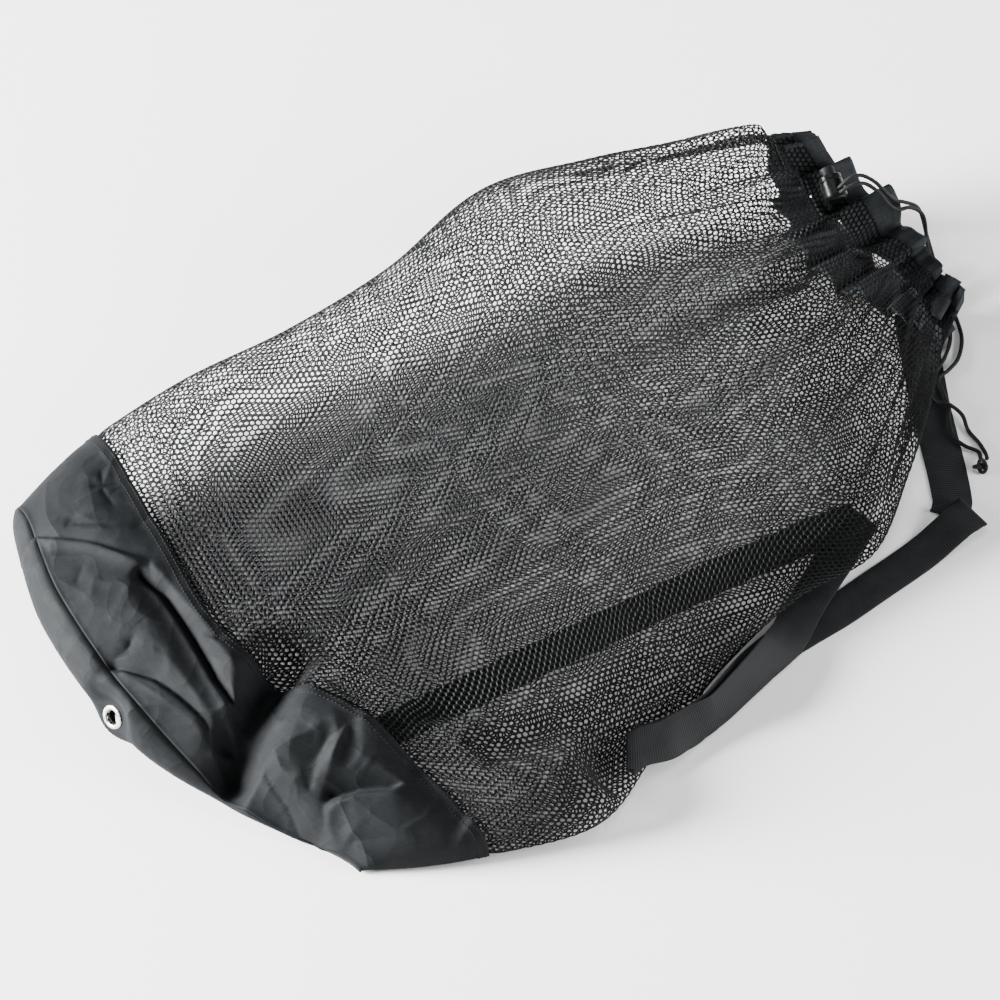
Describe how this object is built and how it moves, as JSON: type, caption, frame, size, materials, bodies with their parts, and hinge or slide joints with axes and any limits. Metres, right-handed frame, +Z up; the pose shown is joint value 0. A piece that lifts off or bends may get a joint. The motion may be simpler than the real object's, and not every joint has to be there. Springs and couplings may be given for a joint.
{
  "type": "mesh bag",
  "caption": "Drawstring mesh bag lying on its side, with a nylon base, drain eyelet, gathered hem, cord lock and webbing shoulder strap.",
  "frame": {"origin": "on the floor, at a point on the flat underside of the net body", "axes": "+Z up from the floor that the bag lies on, +X along the bag from its nylon base to its mouth, and -Y towards the side where the shoulder strap lies"},
  "size_m": [0.7634, 0.492, 0.1466],
  "materials": {
    "nylon": "plain weave with a soft sheen",
    "net": "knitted net",
    "hem_nylon": "plain weave",
    "webbing": "ribbed weave",
    "cord": "braided",
    "lock_plastic": "gloss",
    "button_plastic": "matte",
    "nickel": "nickel plate"
  },
  "bodies": {
    "bag": {"base_wall": "nylon", "base_panel": "nylon", "eyelet": "nickel", "mesh_body": "net", "hem_casing": "hem_nylon", "shoulder_strap": "webbing", "cord_lock_barrel": "lock_plastic", "drawcord_end_1": "cord", "drawcord_end_2": "cord", "cord_knot": "cord"},
    "lock_button": {"cord_lock_button": "button_plastic"}
  },
  "joints": [
    {"name": "button_press", "type": "slide", "parent": "bag", "child": "lock_button", "axis": [-0.2702, -0.9007, -0.3402], "range_m": [0, 0.004], "stiffness_N_per_m": 600}
  ]
}
